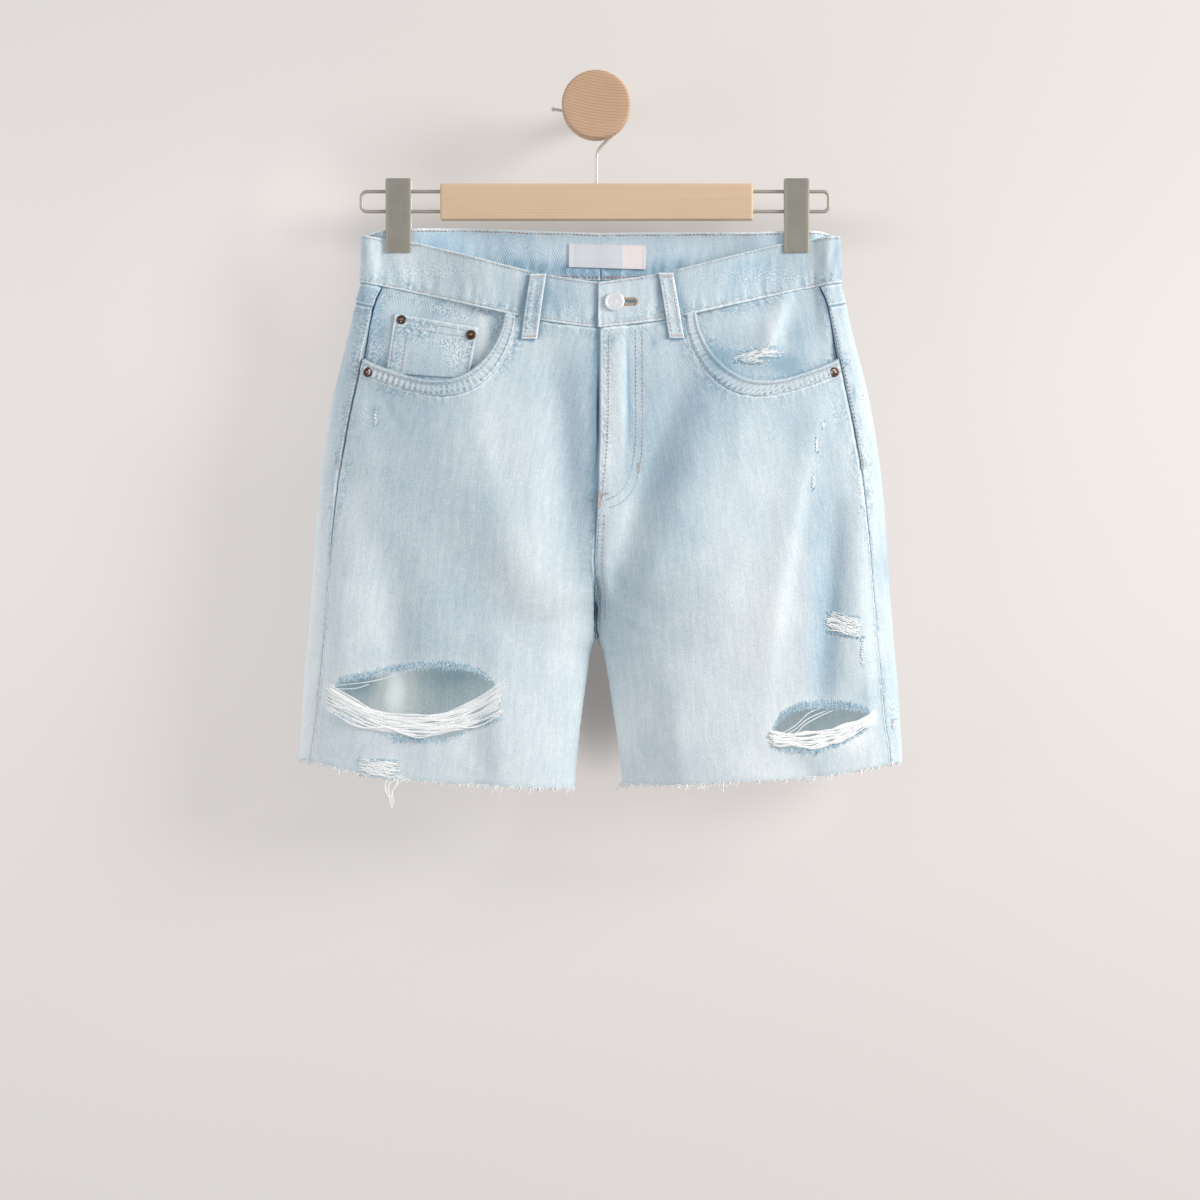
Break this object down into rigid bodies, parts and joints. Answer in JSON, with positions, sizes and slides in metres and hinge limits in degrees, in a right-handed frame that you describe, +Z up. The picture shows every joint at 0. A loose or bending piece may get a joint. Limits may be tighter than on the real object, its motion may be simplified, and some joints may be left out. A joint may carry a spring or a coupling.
{
  "type": "denim shorts clipped to a trouser hanger on a wooden wall hook",
  "caption": "Pale washed denim shorts with raw frayed hems and worn rips, held at the waist by a clip hanger that hangs from a round wooden wall hook.",
  "frame": {"origin": "middle of the wall hook's back face, where its dowel meets the wall", "axes": "+Z up, +Y into the wall, so the front of the shorts faces -Y, and +X to the right of someone facing the wall, which is the wearer's left"},
  "size_m": [0.531, 0.1028, 0.6351],
  "materials": {
    "denim": "washed cotton denim with a fine twill",
    "raw_yarn": "loose undyed cotton yarn",
    "label_cloth": "woven satin label, blank",
    "copper": "antique copper",
    "silver": "satin silver",
    "nickel": "satin nickel",
    "beech": "light wood, oiled"
  },
  "bodies": {
    "root": {"front_right": "denim", "front_left": "denim", "back_right": "denim", "back_left": "denim", "yoke_right": "denim", "yoke_left": "denim", "waistband_right": "denim", "waistband_left": "denim", "pocket_facing_right": "denim", "pocket_facing_left": "denim", "pocket_hem_right": "denim", "pocket_hem_left": "denim", "coin_pocket": "denim", "back_pocket_right": "denim", "back_pocket_left": "denim", "belt_loop_front_right": "denim", "belt_loop_front_left": "denim", "belt_loop_back_right": "denim", "belt_loop_back_left": "denim", "belt_loop_back_centre": "denim", "hem_fray_right": "raw_yarn", "hem_fray_left": "raw_yarn", "rip_yarns_right": "raw_yarn", "rip_yarns_left": "raw_yarn", "waist_label": "label_cloth", "waist_button": "silver", "rivet_pocket_right": "copper", "rivet_pocket_left": "copper", "rivet_coin_outer": "copper", "rivet_coin_inner": "copper", "hanger_bar": "beech", "hanger_wire_right": "nickel", "hanger_wire_left": "nickel", "hanger_clip_right": "nickel", "hanger_clip_left": "nickel", "hanger_hook": "nickel", "wall_peg": "beech"}
  },
  "joints": []
}
